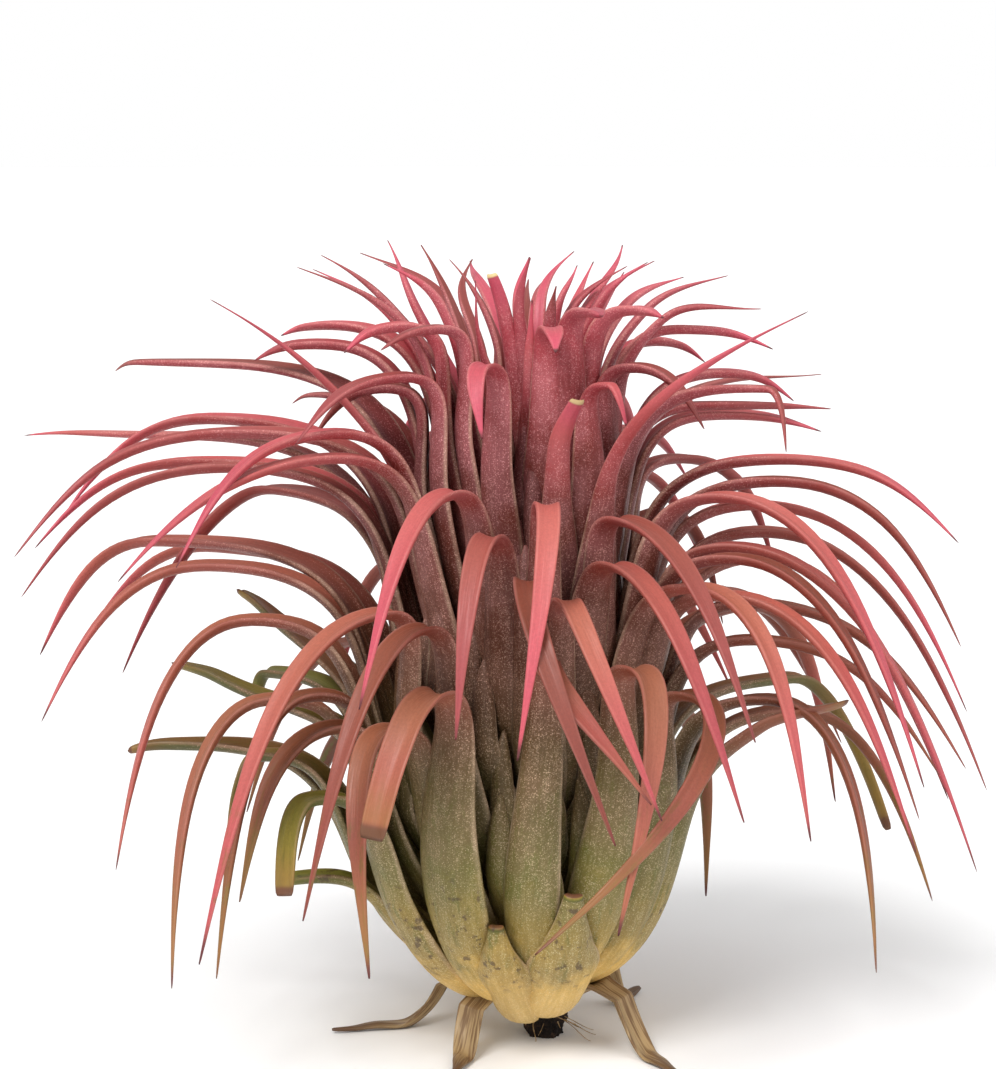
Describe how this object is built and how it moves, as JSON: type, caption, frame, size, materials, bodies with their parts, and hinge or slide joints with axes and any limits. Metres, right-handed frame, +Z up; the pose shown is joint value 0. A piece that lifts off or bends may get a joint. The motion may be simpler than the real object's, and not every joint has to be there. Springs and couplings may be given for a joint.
{
  "type": "sky plant",
  "caption": "Tall air plant rosette: channelled sheaths round a short stem bend over into long arching leaves, olive at the foot and rose at the heart, on a dry root stub.",
  "frame": {"origin": "middle of the resting plane under the stem, on the flat foot of the root stub", "axes": "+Z up along the stem towards the heart, -Y towards the side that the picture shows, +X to its right"},
  "size_m": [0.1739, 0.1376, 0.1403],
  "materials": {
    "root_stub": "dry, crumbly and dull",
    "stem": "dull fibrous flesh",
    "basal_leaves": "satin leaf skin with silvery scurf, dry and brown at the oldest ends",
    "leaf_whorl_1": "satin leaf skin with a fine silvery scurf",
    "leaf_whorl_2": "satin leaf skin with a fine silvery scurf",
    "leaf_whorl_3": "satin leaf skin with a fine silvery scurf",
    "leaf_whorl_4": "satin leaf skin with a fine silvery scurf",
    "leaf_whorl_5": "satin leaf skin with a fine silvery scurf",
    "leaf_whorl_6": "satin leaf skin with a fine silvery scurf",
    "leaf_whorl_7": "satin leaf skin with a fine silvery scurf",
    "leaf_whorl_8": "satin leaf skin with a fine silvery scurf",
    "heart_leaves": "satin young leaf skin with a fine silvery scurf"
  },
  "bodies": {
    "root": {"root_stub": "root_stub", "stem": "stem", "basal_leaves": "basal_leaves", "leaf_whorl_1": "leaf_whorl_1", "leaf_whorl_2": "leaf_whorl_2", "leaf_whorl_3": "leaf_whorl_3", "leaf_whorl_4": "leaf_whorl_4", "leaf_whorl_5": "leaf_whorl_5", "leaf_whorl_6": "leaf_whorl_6", "leaf_whorl_7": "leaf_whorl_7", "leaf_whorl_8": "leaf_whorl_8", "heart_leaves": "heart_leaves"}
  },
  "joints": []
}
